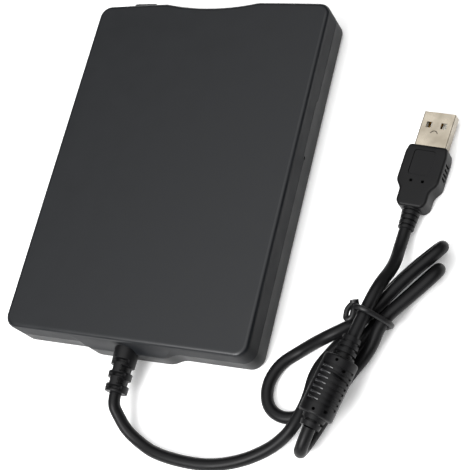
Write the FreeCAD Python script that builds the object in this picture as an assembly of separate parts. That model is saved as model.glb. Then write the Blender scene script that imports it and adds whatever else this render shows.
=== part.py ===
import FreeCAD, Part
import math
import os

from FreeCAD import Base

os.makedirs("parts", exist_ok=True)

# Slim external floppy disk drive with a captive USB lead.
# All sizes are in millimetres. The drive is laid out about the middle of its case and
# then moved along Y, so that the origin lies under the middle of its box.

# Case
case_width = 104.0
case_length = 142.0
case_height = 17.0
foot_height = 1.0
seam_height = 8.5
wall = 2.0
floor_thickness = 1.8
roof_thickness = 1.6
corner_radius = 5.0
top_edge_radius = 1.8
bottom_edge_radius = 1.2
seam_gap = 0.2
front_bow = 1.0
scallop_width = 43.0
scallop_depth = 2.4
scallop_shoulder = 5.0
front_lip = 3.8
lip_height = 2.6
window_half = 47.5
collar_reach = 2.2
collar_width = 29.0
collar_blend = 8.0
ramp_top_drop = 1.6

# Tongue of the lower shell on the right side, and the small notch at its end
tongue_start = -32.6
tongue_end = -8.5
tongue_rise = 1.0

# Fits
running = 0.05
slack = 0.3

# Diskette and front
disk_width = 90.0
mouth_width = 91.2
mouth_low = 9.8
mouth_high = 14.4
bezel_thickness = 2.0
button_centre = 37.0
button_width = 10.2
button_low = 5.3
button_high = 9.1
button_reach = 6.6
light_x = -38.0
light_z = 6.8
light_radius = 1.3

# Chassis
tray_gap = 0.5
sheet = 0.8
board_thickness = 0.8
side_wall_inner = 47.4
side_wall_top = 13.6

# Spindle and motor
spindle_y = -20.5
rotor_radius = 18.3
shaft_radius = 1.5
bearing_radius = 4.0
chuck_radius = 12.0
coil_count = 12

# Diskette carrier and slide
carrier_half = 46.2
carrier_sheet = 0.6
carrier_low = 9.3
carrier_high = 15.0
carrier_front = -59.5
carrier_rear = 24.0
carrier_drop = 2.0
slide_travel = 4.5
slide_inner = 46.5
slide_sheet = 0.6
slide_front = -55.5
slide_rear = 16.0
slide_top = 15.3
lift_pin_radius = 0.8
lift_pin_height = 12.1
lift_pin_places = (-45.0, 10.0)
spring_turns = 9
spring_coil = 1.3
spring_wire = 0.25

# Head carriage
head_y = 19.0
head_travel = 14.8
rod_x = -14.0
rod_z = 6.4
rod_radius = 1.5
screw_x = 14.0
screw_z = 8.4
screw_radius = 1.5
arm_pivot_y = 42.0
arm_pivot_z = 13.2

# Shutter lever
lever_x = -40.0
lever_y = 20.0
lever_reach = 27.0
lever_rest = -55.0
lever_swing = 47.0

# Cord
cord_diameter = 4.5
relief_length = 15.0
relief_root_radius = 4.6
relief_tip_radius = 3.95
ferrite_diameter = 12.2
ferrite_length = 21.3
ferrite_upper_relief = 8.0
ferrite_lower_relief = 4.0
tie_wire_radius = 0.65
tie_slack = 0.85
plug_axis_z = 4.1
shell_width = 12.0
shell_height = 4.5
shell_length = 12.3
shell_sheet = 0.35

# Heights and edges that follow from these
base = foot_height
seam = base + seam_height
top = base + case_height
floor_top = base + floor_thickness
roof = top - roof_thickness
half_width = case_width / 2
half_length = case_length / 2
bow_front = -half_length - front_bow
bezel_front = -half_length - front_bow + front_lip
bezel_back = bezel_front + bezel_thickness
tray_low = floor_top + tray_gap
tray_top = tray_low + sheet
button_tip = -half_length - button_reach
collar_face = half_length + collar_reach
relief_end = collar_face + relief_length
row_shift = -(button_tip + collar_face) / 2
cord_radius = cord_diameter / 2


def block(x0, x1, y0, y1, z0, z1):
    return Part.makeBox(x1 - x0, y1 - y0, z1 - z0, Base.Vector(x0, y0, z0))


def upright(radius, x, y, z0, z1):
    return Part.makeCylinder(radius, z1 - z0, Base.Vector(x, y, z0))


def rod_along_y(radius, x, z, y0, y1):
    return Part.makeCylinder(radius, y1 - y0, Base.Vector(x, y0, z), Base.Vector(0, 1, 0))


def rod_along_x(radius, y, z, x0, x1):
    return Part.makeCylinder(radius, x1 - x0, Base.Vector(x0, y, z), Base.Vector(1, 0, 0))


def mirrored(shape):
    return shape.mirror(Base.Vector(0, 0, 0), Base.Vector(1, 0, 0))


def both_sides(shape):
    return [shape, mirrored(shape)]


def joined(shapes):
    body = shapes[0]
    if len(shapes) > 1:
        body = body.multiFuse(shapes[1:])
    return body.removeSplitter()


def upright_edges(shape, places, near=0.6):
    found = []
    for edge in shape.Edges:
        start = edge.Vertexes[0].Point
        finish = edge.Vertexes[-1].Point
        along_z = abs(start.x - finish.x) < 0.01 and abs(start.y - finish.y) < 0.01
        if along_z and abs(start.z - finish.z) > 0.1:
            for place in places:
                if abs(start.x - place[0]) < near and abs(start.y - place[1]) < near:
                    found.append(edge)
    return found


def rim_edges(shape, height):
    found = []
    for edge in shape.Edges:
        box = edge.BoundBox
        if abs(box.ZMin - height) < 0.01 and abs(box.ZMax - height) < 0.01:
            found.append(edge)
    return found


def rounded_block(x0, x1, y0, y1, z0, z1, radius):
    body = block(x0, x1, y0, y1, z0, z1)
    corners = [(x0, y0), (x1, y0), (x0, y1), (x1, y1)]
    return body.makeFillet(radius, upright_edges(body, corners))


def save(name, shapes):
    solids = []
    for shape in shapes:
        solids.extend(shape.Solids)
    for solid in solids:
        if not solid.isValid():
            print("not valid:", name)
    compound = Part.makeCompound([solid.copy() for solid in solids])
    compound.translate(Base.Vector(0, row_shift, 0))
    compound.exportStep("parts/" + name + ".step")


# Case outline
def blend_points(x0, y0, x1, y1):
    """Mid and quarter points of an S curve between two parallel edges."""
    middle = ((x0 + x1) / 2, (y0 + y1) / 2)
    run = abs(x1 - x0)
    rise = abs(y1 - y0)
    radius = (run * run + rise * rise) / (4 * rise)
    sink = radius - math.sqrt(radius * radius - (run / 4) ** 2)
    sign = 1 if y1 > y0 else -1
    first = ((3 * x0 + x1) / 4, y0 + sign * sink)
    second = ((x0 + 3 * x1) / 4, y1 - sign * sink)
    return first, middle, second


def case_outline(with_collar, low, high):
    """Prism of the case's plan, with its bowed front and, if asked, the collar at the rear."""
    w = half_width
    l = half_length
    r = corner_radius
    bend = r * (1 - math.sqrt(0.5))

    def point(x, y):
        return Base.Vector(x, y, low)

    edges = [
        Part.LineSegment(point(w, -l + r), point(w, l - r)),
        Part.Arc(point(w, l - r), point(w - bend, l - bend), point(w - r, l)),
    ]
    if with_collar:
        inner = collar_width / 2
        outer = inner + collar_blend
        one, two, three = blend_points(outer, l, inner, l + collar_reach)
        edges.append(Part.LineSegment(point(w - r, l), point(outer, l)))
        edges.append(Part.Arc(point(outer, l), point(*one), point(*two)))
        edges.append(Part.Arc(point(*two), point(*three), point(inner, l + collar_reach)))
        corner = point(-inner, l + collar_reach)
        edges.append(Part.LineSegment(point(inner, l + collar_reach), corner))
        edges.append(Part.Arc(corner, point(-three[0], three[1]), point(-two[0], two[1])))
        edges.append(Part.Arc(point(-two[0], two[1]), point(-one[0], one[1]), point(-outer, l)))
        edges.append(Part.LineSegment(point(-outer, l), point(-w + r, l)))
    else:
        edges.append(Part.LineSegment(point(w - r, l), point(-w + r, l)))
    edges += [
        Part.Arc(point(-w + r, l), point(-w + bend, l - bend), point(-w, l - r)),
        Part.LineSegment(point(-w, l - r), point(-w, -l + r)),
        Part.Arc(point(-w, -l + r), point(-w + bend, -l + bend), point(-w + r, -l)),
        Part.Arc(point(-w + r, -l), point(0, bow_front), point(w - r, -l)),
        Part.Arc(point(w - r, -l), point(w - bend, -l + bend), point(w, -l + r)),
    ]
    wire = Part.Wire([edge.toShape() for edge in edges])
    return Part.Face(wire).extrude(Base.Vector(0, 0, high - low))


def scallop_cutter(low, high):
    """Upright cylinder that hollows the middle of the front edge."""
    half = scallop_width / 2
    radius = (half * half + scallop_depth * scallop_depth) / (2 * scallop_depth)
    return upright(radius, 0, bow_front + scallop_depth - radius, low - 1, high + 1)


def scalloped(body, low, high):
    body = body.cut(scallop_cutter(low, high))
    shoulders = [(-scallop_width / 2, -half_length - 0.8), (scallop_width / 2, -half_length - 0.8)]
    return body.makeFillet(scallop_shoulder, upright_edges(body, shoulders, 1.6))


def cavity(inset, low, high, front):
    body = rounded_block(
        -half_width + inset, half_width - inset, front, half_length - inset, low, high,
        corner_radius - inset,
    )
    return body


def seam_ring(outer, inner, low, high):
    ring = cavity(outer, low, high, -half_length + outer)
    return ring.cut(cavity(inner, low - 1, high + 1, -half_length + inner))


def relief_hole():
    return rod_along_y(relief_root_radius + 0.15, 0, seam, half_length - 1, collar_face + 1)


def relief_groove():
    return rod_along_y(6.2, 0, seam, half_length - wall - 0.2, half_length - wall + 2.2)


screw_places = ((44.5, 63.0), (-44.5, 63.0))
screw_radius_case = 1.25
boss_radius = 2.8
foot_places = ((42.0, 54.0), (-42.0, 54.0), (42.0, -60.0), (-42.0, -60.0))
foot_radius = 4.0
foot_sink = 0.4
tray_screw_places = ((30.0, -54.0), (-30.0, -54.0), (28.0, 50.0), (-20.5, 52.0))


def mouth_window(low, high):
    return block(-window_half, window_half, bow_front - 2, bezel_front + 0.01, low, high)


def rear_ramp(low):
    """Hollow-sided slope between the case's rear face and the lip round the relief."""
    lip = Base.Vector(-30, collar_face, low + 0.8)
    crest = Base.Vector(-30, half_length, top - ramp_top_drop)
    inside = Base.Vector(-30, half_length - 1, top - ramp_top_drop)
    corner = Base.Vector(-30, half_length - 1, low)
    outside = Base.Vector(-30, collar_face + 1, low)
    hollow = Base.Vector(-30, half_length + 0.35 * collar_reach, low + 3.4)
    profile = Part.Wire([
        Part.LineSegment(corner, outside).toShape(),
        Part.LineSegment(outside, lip).toShape(),
        Part.Arc(lip, hollow, crest).toShape(),
        Part.LineSegment(crest, inside).toShape(),
        Part.LineSegment(inside, corner).toShape(),
    ])
    ramp = Part.Face(profile).extrude(Base.Vector(60, 0, 0))
    return ramp.common(case_outline(True, low, top))


def top_cover():
    low = seam + seam_gap
    body = case_outline(False, low, top)
    body = scalloped(body, low, top)
    body = body.makeFillet(top_edge_radius, rim_edges(body, top))
    body = joined([body, rear_ramp(low)])
    body = body.cut(cavity(wall, low - 1, roof, bezel_front))
    body = body.cut(mouth_window(low - 1, top - lip_height))
    body = body.cut(seam_ring(wall / 2, wall + 0.1, low - 1, seam + 1.1))
    pegs = []
    for x, y in screw_places:
        pegs.append(upright(boss_radius, x, y, floor_top + 2.6, roof + 0.1))
    body = joined([body] + pegs)
    for x, y in screw_places:
        body = body.cut(upright(screw_radius_case, x, y, floor_top, roof - 1))
    body = body.cut(relief_hole())
    body = body.cut(relief_groove())
    notch = block(-half_width - 1, -half_width + wall + 0.1, tongue_start - 0.1, tongue_end + 0.1,
                  low - 1, seam + tongue_rise + seam_gap)
    return body.cut(notch)


def bottom_cover():
    body = case_outline(True, base, seam)
    body = scalloped(body, base, seam)
    body = body.makeFillet(bottom_edge_radius, rim_edges(body, base))
    body = body.cut(cavity(wall, floor_top, seam + 1, bezel_front))
    body = body.cut(mouth_window(base + lip_height, seam + 1))
    lip = seam_ring(wall / 2 + 0.1, wall, seam - 1, seam + 1)
    front = -half_length + 8
    lip = lip.cut(block(-half_width, half_width, bow_front - 1, front, seam - 2, seam + 2))
    lip = lip.cut(block(-8, 8, half_length - 4, half_length + 1, seam - 2, seam + 2))
    inner = -half_width + wall
    tongue = block(-half_width, inner, tongue_start, tongue_end, seam - 1, seam + tongue_rise)
    extras = [lip, tongue]
    for x, y in screw_places:
        extras.append(upright(boss_radius, x, y, floor_top - 0.2, floor_top + 2.6))
    for x, y in tray_screw_places:
        extras.append(upright(2.4, x, y, floor_top - 0.2, tray_low))
    for x in (-6.0, 30.0):
        extras.append(upright(2.0, x, 63.0, floor_top - 0.2, floor_top + 1.4))
    body = joined([body] + extras)
    for x, y in screw_places:
        body = body.cut(upright(1.5, x, y, base - 1, seam))
        body = body.cut(upright(2.7, x, y, base - 1, base + 1.2))
    for x, y in tray_screw_places:
        body = body.cut(upright(0.9, x, y, base + 0.6, tray_low + 1))
    for x, y in foot_places:
        body = body.cut(upright(foot_radius, x, y, base - 1, base + foot_sink))
    body = body.cut(relief_hole())
    body = body.cut(relief_groove())
    dot = block(-half_width - 1, -half_width + 0.8, tongue_end - 1.3, tongue_end - 0.1,
                seam - 0.6, seam + 0.5)
    return body.cut(dot)


def rubber_feet():
    feet = []
    for x, y in foot_places:
        foot = upright(foot_radius, x, y, 0, base + foot_sink)
        feet.append(foot.makeChamfer(0.3, rim_edges(foot, 0)))
    return feet


def countersunk(x, y, head_low, head_radius, head_height, shank_radius, shank_top):
    head = upright(head_radius, x, y, head_low, head_low + head_height)
    shank = upright(shank_radius, x, y, head_low + head_height - 0.1, shank_top)
    cross = joined([
        block(x - 0.25, x + 0.25, y - 1.1, y + 1.1, head_low - 1, head_low + 0.5),
        block(x - 1.1, x + 1.1, y - 0.25, y + 0.25, head_low - 1, head_low + 0.5),
    ])
    return joined([head, shank]).cut(cross)


def case_screws():
    screws = []
    for x, y in screw_places:
        screws.append(countersunk(x, y, base + 0.2, 2.5, 1.0, screw_radius_case - 0.02, roof - 1.4))
    return screws


def chassis_screws():
    screws = []
    for x, y in tray_screw_places:
        head = upright(2.0, x, y, tray_top, tray_top + 1.0)
        shank = upright(0.85, x, y, base + 0.8, tray_top + 0.1)
        cross = joined([
            block(x - 0.2, x + 0.2, y - 1.0, y + 1.0, tray_top + 0.6, tray_top + 2),
            block(x - 1.0, x + 1.0, y - 0.2, y + 0.2, tray_top + 0.6, tray_top + 2),
        ])
        screws.append(joined([head, shank]).cut(cross))
    return screws


# Front bezel, light and slot door
door_half = mouth_width / 2 - 0.6
door_thickness = 1.0
door_gap = 0.6
door_y = bezel_back + door_gap + door_thickness / 2
door_axis_z = mouth_high + 0.4
door_pin_radius = 0.55


def front_bezel():
    half = mouth_width / 2
    body = block(-window_half - 1, window_half + 1, bezel_front, bezel_back,
                 base + lip_height - 0.6, top - lip_height + 0.6)
    body = body.common(cavity(wall, base, top, bezel_front))
    body = body.cut(block(-half, half, bezel_front - 1, bezel_back + 1, mouth_low, mouth_high))
    body = body.cut(block(-half, half, bezel_front - 1, bezel_front + 0.8,
                          mouth_low - 0.5, mouth_high + 0.4))
    window = block(
        button_centre - button_width / 2 - slack, button_centre + button_width / 2 + slack,
        bezel_front - 1, bezel_back + 1, button_low - slack, button_high + slack,
    )
    body = body.cut(window)
    body = body.cut(rod_along_y(light_radius + running, light_x, light_z, bezel_front - 1, bezel_back + 1))
    ear = block(door_half + 0.4, door_half + 1.9, bezel_back - 0.1, door_y + 1.2,
                mouth_high - 0.6, door_axis_z + 1.0)
    body = joined([body] + both_sides(ear))
    hole = rod_along_x(door_pin_radius + running, door_y, door_axis_z, door_half, door_half + 1.5)
    for cutter in both_sides(hole):
        body = body.cut(cutter)
    return [body]


def slot_door():
    flap = block(-door_half, door_half, door_y - door_thickness / 2, door_y + door_thickness / 2,
                 mouth_low + 0.2, door_axis_z)
    barrel = rod_along_x(door_thickness / 2, door_y, door_axis_z, -door_half, door_half)
    pins = rod_along_x(door_pin_radius - 0.05, door_y, door_axis_z, -door_half - 1.4, door_half + 1.4)
    rib = block(-20, 20, door_y - door_thickness / 2 - 0.2, door_y,
                mouth_low + 0.6, mouth_low + 1.0)
    return [joined([flap, barrel, pins, rib])]


def led_lens():
    rod = rod_along_y(light_radius, light_x, light_z, bezel_front - 0.2, bezel_back + 4)
    rim = [edge for edge in rod.Edges if abs(edge.BoundBox.YMax - bezel_front + 0.2) < 0.01]
    rod = rod.makeFillet(0.5, rim)
    foot = block(light_x - 1.5, light_x + 1.5, bezel_back + 3, bezel_back + 5.5,
                 tray_top + board_thickness, light_z + 1)
    return [joined([rod, foot])]


# Chassis
light_board_y = (-61.6, -52.5)
spring_x = -38.0
post_y = -32.4
post_radius = 1.2


def chassis_tray():
    plate = block(-side_wall_inner - sheet, side_wall_inner + sheet, -62, 56.5, tray_low, tray_top)
    side = block(side_wall_inner, side_wall_inner + sheet, -58, 20, tray_low, side_wall_top)
    parts = [plate] + both_sides(side)
    body = joined(parts)
    for y in lift_pin_places:
        slot_low = lift_pin_height - carrier_drop - lift_pin_radius - 0.15
        slot = block(side_wall_inner - 1, side_wall_inner + 2, y - lift_pin_radius - 0.1,
                     y + lift_pin_radius + 0.1, slot_low, side_wall_top + 1)
        for cutter in both_sides(slot):
            body = body.cut(cutter)
    for x, y in tray_screw_places:
        body = body.cut(upright(1.0, x, y, tray_low - 1, tray_top + 1))
    body = body.cut(upright(bearing_radius + running, 0, spindle_y, tray_low - 1, tray_top + 1))
    body = body.cut(rounded_block(-9, 9, 6, 26, tray_low - 1, tray_top + 1, 2))
    for x in (-36, 36):
        body = body.cut(rounded_block(x - 5, x + 5, -28, -8, tray_low - 1, tray_top + 1, 3))
    post = upright(post_radius, spring_x, post_y, tray_top - 0.1, tray_top + 4.4)
    return [joined([body, post])]


def motor_board():
    board = rounded_block(-26, 26, -46, 2, tray_top, tray_top + board_thickness, 2)
    front = block(-45, 26, light_board_y[0], light_board_y[1], tray_top, tray_top + board_thickness)
    bridge = block(-26, 10, -55, -44, tray_top, tray_top + board_thickness)
    body = joined([board, front, bridge])
    for x, y in tray_screw_places:
        body = body.cut(upright(2.3, x, y, tray_top - 1, tray_top + 3))
    body = body.cut(upright(bearing_radius + running, 0, spindle_y, tray_top - 1, tray_top + 3))
    return [body]


board_top = tray_top + board_thickness
coil_top = board_top + 1.1
rotor_low = coil_top + 0.4
rotor_top = rotor_low + 1.0
chuck_top = rotor_top + 0.6


def stator_core():
    ring = upright(7.4, 0, spindle_y, board_top, coil_top - 0.2)
    parts = [ring]
    for index in range(coil_count):
        tooth = block(6.5, 14.2, -0.7, 0.7, board_top + 0.2, coil_top - 0.4)
        tip = block(13.4, 14.4, -1.9, 1.9, board_top + 0.1, coil_top - 0.3)
        arm = joined([tooth, tip])
        arm.rotate(Base.Vector(0, 0, 0), Base.Vector(0, 0, 1), 360 * index / coil_count)
        arm.translate(Base.Vector(0, spindle_y, 0))
        parts.append(arm)
    body = joined(parts)
    return [body.cut(upright(bearing_radius + running, 0, spindle_y, board_top - 1, coil_top + 1))]


def stator_coils():
    coils = []
    for index in range(coil_count):
        coil = block(8.6, 12.8, -1.5, 1.5, board_top + 0.02, coil_top)
        coil = coil.cut(block(8, 14, -0.7, 0.7, board_top + 0.2, coil_top - 0.4))
        coil.rotate(Base.Vector(0, 0, 0), Base.Vector(0, 0, 1), 360 * index / coil_count)
        coil.translate(Base.Vector(0, spindle_y, 0))
        coils.append(coil)
    return coils


def spindle_bearing():
    body = upright(bearing_radius, 0, spindle_y, tray_top - sheet, coil_top + 0.1)
    flange = upright(bearing_radius + 1.2, 0, spindle_y, tray_low - 0.4, tray_low)
    neck = upright(bearing_radius, 0, spindle_y, tray_low - 0.2, tray_top)
    body = joined([body, flange, neck])
    return [body.cut(upright(shaft_radius + running, 0, spindle_y, floor_top + 1.0, coil_top + 1))]


def spindle_rotor():
    disc = upright(rotor_radius, 0, spindle_y, rotor_low, rotor_top)
    skirt = upright(rotor_radius, 0, spindle_y, board_top + 0.4, rotor_top)
    skirt = skirt.cut(upright(rotor_radius - 0.8, 0, spindle_y, board_top - 1, rotor_top + 1))
    chuck = upright(chuck_radius, 0, spindle_y, rotor_top - 0.1, chuck_top)
    body = joined([disc, skirt, chuck])
    body = body.cut(upright(shaft_radius, 0, spindle_y, rotor_low - 1, chuck_top + 1))
    window = rounded_block(7.2, 10.8, spindle_y - 1.6, spindle_y + 1.6, rotor_low - 1, chuck_top + 1, 1.2)
    body = body.cut(window)
    return [body]


def rotor_magnet():
    ring = upright(rotor_radius - 0.8, 0, spindle_y, board_top + 0.5, rotor_low)
    return [ring.cut(upright(rotor_radius - 2.9, 0, spindle_y, board_top, rotor_low + 1))]


def spindle_shaft():
    shaft = upright(shaft_radius, 0, spindle_y, floor_top + 1.1, chuck_top + 1.4)
    return [shaft.makeChamfer(0.4, rim_edges(shaft, chuck_top + 1.4))]


def drive_pin():
    pin = upright(0.9, 9, spindle_y, rotor_low, chuck_top + 1.0)
    leaf = rounded_block(7.4, 10.6, spindle_y - 1.4, spindle_y + 1.4, rotor_low, rotor_low + 0.3, 1.2)
    return [joined([pin, leaf])]


# Head positioner
def guide_rod():
    return [rod_along_y(rod_radius, rod_x, rod_z, 6, 50)]


def rod_clamps():
    clamps = []
    for y in (6.0, 47.0):
        clamp = block(rod_x - 3.2, rod_x + 3.2, y, y + 3, tray_top, rod_z + 2.4)
        crest = []
        for edge in clamp.Edges:
            if abs(edge.BoundBox.ZMin - rod_z - 2.4) < 0.01 and edge.BoundBox.YLength > 2:
                crest.append(edge)
        clamp = clamp.makeFillet(1.2, crest)
        clamps.append(clamp.cut(rod_along_y(rod_radius, rod_x, rod_z, y - 1, y + 4)))
    return clamps


carriage_front = 29.0
carriage_rear = 44.0
nut_y = 41.5


def head_carriage():
    rod_block = block(rod_x - 3.2, rod_x + 3.2, carriage_front, carriage_rear - 1, rod_z - 2.1, rod_z + 2.2)
    deck = block(rod_x, screw_x - 3.4, carriage_front, carriage_rear - 4, rod_z - 1.0, rod_z + 1.2)
    nose = block(-4.4, 4.4, head_y - 5, carriage_front + 1, rod_z - 1.0, rod_z + 1.9)
    tower = block(-6.5, 6.5, arm_pivot_y - 4, carriage_rear - 1.0, rod_z - 1.0, arm_pivot_z - 1.6)
    ear = block(5.3, 6.5, arm_pivot_y - 2.6, carriage_rear - 1.0, arm_pivot_z - 2.4, arm_pivot_z + 1.6)
    nut = block(screw_x - 5.4, screw_x + 2.6, nut_y - 1, nut_y + 1, rod_z - 1.0, screw_z + 2.4)
    link = block(0, screw_x - 3.4, nut_y - 1, nut_y + 1, rod_z - 1.0, rod_z + 1.2)
    body = joined([rod_block, deck, nose, tower, nut, link] + both_sides(ear))
    body = body.cut(rod_along_y(rod_radius + running, rod_x, rod_z, carriage_front - 1, carriage_rear + 1))
    body = body.cut(rod_along_y(screw_radius + slack, screw_x, screw_z, nut_y - 2, nut_y + 2))
    body = body.cut(rod_along_x(0.8 + running, arm_pivot_y, arm_pivot_z, -7, 7))
    body = body.cut(block(-3, 3, head_y + 4, carriage_front - 2, rod_z, rod_z + 3))
    return [body]


def lower_head():
    pad = block(-2.2, 2.2, head_y - 2.6, head_y + 2.6, rod_z + 1.9, rod_z + 2.9)
    slider = block(-1.4, 1.4, head_y - 1.8, head_y + 1.8, rod_z + 2.8, rod_z + 3.2)
    return [joined([pad, slider])]


def upper_head_arm():
    beam = block(-3.6, 3.6, head_y - 3.6, arm_pivot_y + 0.8, roof - 1.3, roof - 0.4)
    beam = beam.cut(rounded_block(-1.8, 1.8, head_y + 5, arm_pivot_y - 6, roof - 3, roof, 1.2))
    drop = block(-3.6, 3.6, arm_pivot_y - 1.4, arm_pivot_y + 1.2, arm_pivot_z - 0.9, roof - 0.8)
    barrel = rod_along_x(1.3, arm_pivot_y, arm_pivot_z, -5.0, 5.0)
    pin = rod_along_x(0.8, arm_pivot_y, arm_pivot_z, -6.5, 6.5)
    return [joined([beam, drop, barrel, pin])]


def upper_head():
    pad = block(-2.2, 2.2, head_y - 2.6, head_y + 2.6, roof - 1.7, roof - 1.3)
    slider = block(-1.4, 1.4, head_y - 1.8, head_y + 1.8, roof - 2.0, roof - 1.6)
    return [joined([pad, slider])]


screw_front = 24.5
stepper_front = 47.4
stepper_radius = 4.2


def lead_screw():
    shaft = rod_along_y(screw_radius, screw_x, screw_z, screw_front, stepper_front - 0.3)
    journal = rod_along_y(0.75, screw_x, screw_z, screw_front - 1.6, stepper_front + 1.0)
    return [joined([shaft, journal])]


def stepper_motor():
    can = rod_along_y(stepper_radius, screw_x, screw_z, stepper_front, stepper_front + 9)
    terminals = block(screw_x - 3, screw_x + 3, stepper_front + 3, stepper_front + 8, tray_top, screw_z - 3)
    body = joined([can, terminals])
    return [body.cut(rod_along_y(0.75 + running, screw_x, screw_z, stepper_front - 1, stepper_front + 1.5))]


def stepper_bracket():
    face = block(screw_x - 6, screw_x + 6, stepper_front - 0.9, stepper_front, tray_top, screw_z + 3.4)
    hole = rod_along_y(1.9, screw_x, screw_z, stepper_front - 2, stepper_front + 1)
    end = block(screw_x - 2.4, screw_x + 2.4, screw_front - 1.8, screw_front - 0.6, tray_top, screw_z + 1.5)
    end = end.cut(rod_along_y(0.75 + running, screw_x, screw_z, screw_front - 3, screw_front))
    rail = block(screw_x + 3.4, screw_x + 6, screw_front - 1.8, stepper_front, tray_top, tray_top + 0.8)
    foot = block(screw_x - 2.4, screw_x + 4, screw_front - 1.8, screw_front - 0.6, tray_top, tray_top + 0.8)
    return [joined([face.cut(hole), end, rail, foot])]


# Diskette carrier, slide and eject button
def sector_slot(x, y, reach, half, start, stop, low, high):
    """Curved slot about an upright axis, with round ends."""
    ring = upright(reach + half, x, y, low, high).cut(upright(reach - half, x, y, low - 1, high + 1))
    wedge_points = [Base.Vector(x, y, low)]
    for step in range(5):
        angle = math.radians(start + (stop - start) * step / 4)
        wedge_points.append(Base.Vector(x + 60 * math.cos(angle), y + 60 * math.sin(angle), low))
    wedge_points.append(wedge_points[0])
    wedge = Part.Face(Part.makePolygon(wedge_points)).extrude(Base.Vector(0, 0, high - low))
    ends = []
    for angle in (math.radians(start), math.radians(stop)):
        ends.append(upright(half, x + reach * math.cos(angle), y + reach * math.sin(angle), low, high))
    return joined([ring.common(wedge)] + ends)


def disk_carrier():
    roof_plate = block(-carrier_half, carrier_half, carrier_front, carrier_rear,
                       carrier_high - carrier_sheet, carrier_high)
    side = block(carrier_half - carrier_sheet, carrier_half, carrier_front, carrier_rear,
                 carrier_low, carrier_high)
    rail = block(disk_width / 2 - 3, carrier_half, carrier_front, carrier_rear - 10,
                 carrier_low, carrier_low + carrier_sheet)
    body = joined([roof_plate] + both_sides(side) + both_sides(rail))
    body = body.cut(block(-8, 8, -3, carrier_rear + 1, carrier_high - 2, carrier_high + 1))
    body = body.cut(rounded_block(-26, 26, -46, -14, carrier_high - 2, carrier_high + 1, 6))
    body = body.cut(sector_slot(lever_x, lever_y, lever_reach, 1.3, lever_rest - 2,
                                lever_rest + lever_swing + 2, carrier_high - 2, carrier_high + 1))
    pins = []
    for y in lift_pin_places:
        pin = rod_along_x(lift_pin_radius, y, lift_pin_height, carrier_half - 0.3,
                          side_wall_inner + sheet)
        pins.extend(both_sides(pin))
    pivot = upright(1.2, lever_x, lever_y, carrier_high - 0.2, carrier_high + 1.0)
    return [joined([body, pivot] + pins)]


def cam_slot(y):
    """Slanted slot that the lift pin follows as the slide moves."""
    reach = math.hypot(slide_travel, carrier_drop)
    angle = math.degrees(math.atan2(-carrier_drop, slide_travel))
    half = lift_pin_radius + 0.1
    spare = 0.6
    slot = block(slide_inner - 1, slide_inner + 2, -spare, reach + 0.1, -half, half)
    ends = [
        rod_along_x(half, -spare, 0, slide_inner - 1, slide_inner + 2),
        rod_along_x(half, reach + 0.1, 0, slide_inner - 1, slide_inner + 2),
    ]
    slot = joined([slot] + ends)
    slot.rotate(Base.Vector(0, 0, 0), Base.Vector(1, 0, 0), angle)
    slot.translate(Base.Vector(0, y, lift_pin_height))
    return slot


def slide_plate():
    bridge = block(-slide_inner - slide_sheet, slide_inner + slide_sheet, slide_front, -20,
                   slide_top, slide_top + 0.5)
    flange = block(slide_inner, slide_inner + slide_sheet, slide_front, slide_rear,
                   8.2, slide_top + 0.5)
    leg = block(slide_inner, slide_inner + slide_sheet, slide_front, slide_front + 5, 5.8, 9)
    foot = block(36, slide_inner + slide_sheet, slide_front, slide_front + 4, 5.8, 6.6)
    stem = block(34, 40, bezel_back + 0.3, slide_front + 1, 5.8, 6.6)
    body = joined([bridge, stem] + both_sides(flange) + both_sides(leg) + both_sides(foot))
    body = body.cut(rounded_block(-30, 30, -50, -26, slide_top - 1, slide_top + 2, 5))
    for y in lift_pin_places:
        for cutter in both_sides(cam_slot(y)):
            body = body.cut(cutter)
    return [body]


def eject_button():
    half = button_width / 2
    cap = block(button_centre - half, button_centre + half, button_tip, bezel_back + 0.3,
                button_low, button_high)
    rim = [edge for edge in cap.Edges if edge.BoundBox.YMax < button_tip + 0.01]
    cap = cap.makeFillet(1.0, rim)
    core = block(button_centre - half + 1, button_centre + half - 1, button_tip + 3,
                 bezel_back + 1, button_low + 1, button_high - 1)
    cap = cap.cut(core)
    hook = block(34, 40, bezel_back - 1.0, bezel_back + 0.3, button_low + 0.5, button_high - 0.5)
    return [joined([cap, hook])]


def eject_spring():
    """Coil of wire along Y between the slide's foot and the chassis post."""
    start = slide_front + 4.0 + 0.2 + spring_wire
    finish = post_y - post_radius - 0.2 - spring_wire
    helix = Part.makeHelix((finish - start) / spring_turns, finish - start, spring_coil)
    circle = Part.Circle(Base.Vector(spring_coil, 0, 0), Base.Vector(0, 1, 0), spring_wire)
    coil = Part.Wire(helix).makePipeShell([Part.Wire([circle.toShape()])], True, True)
    coil.rotate(Base.Vector(0, 0, 0), Base.Vector(1, 0, 0), -90)
    coil.translate(Base.Vector(spring_x, start, 6.4))
    return [coil]


def shutter_lever():
    arm = block(0, lever_reach, -1.6, 1.6, carrier_high + 0.15, carrier_high + 0.7)
    eye = upright(2.6, 0, 0, carrier_high + 0.15, carrier_high + 0.7)
    tip = upright(1.9, lever_reach, 0, carrier_high + 0.15, carrier_high + 0.7)
    finger = upright(0.9, lever_reach, 0, carrier_high - 2.2, carrier_high + 0.3)
    body = joined([arm, eye, tip, finger])
    body = body.cut(upright(1.2 + running, 0, 0, carrier_high - 3, carrier_high + 2))
    body.rotate(Base.Vector(0, 0, 0), Base.Vector(0, 0, 1), lever_rest)
    body.translate(Base.Vector(lever_x, lever_y, 0))
    return [body]


# Boards at the rear
def main_board():
    return [rounded_block(-46, -24, 22, 56, tray_top, board_top, 1.5)]


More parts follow.
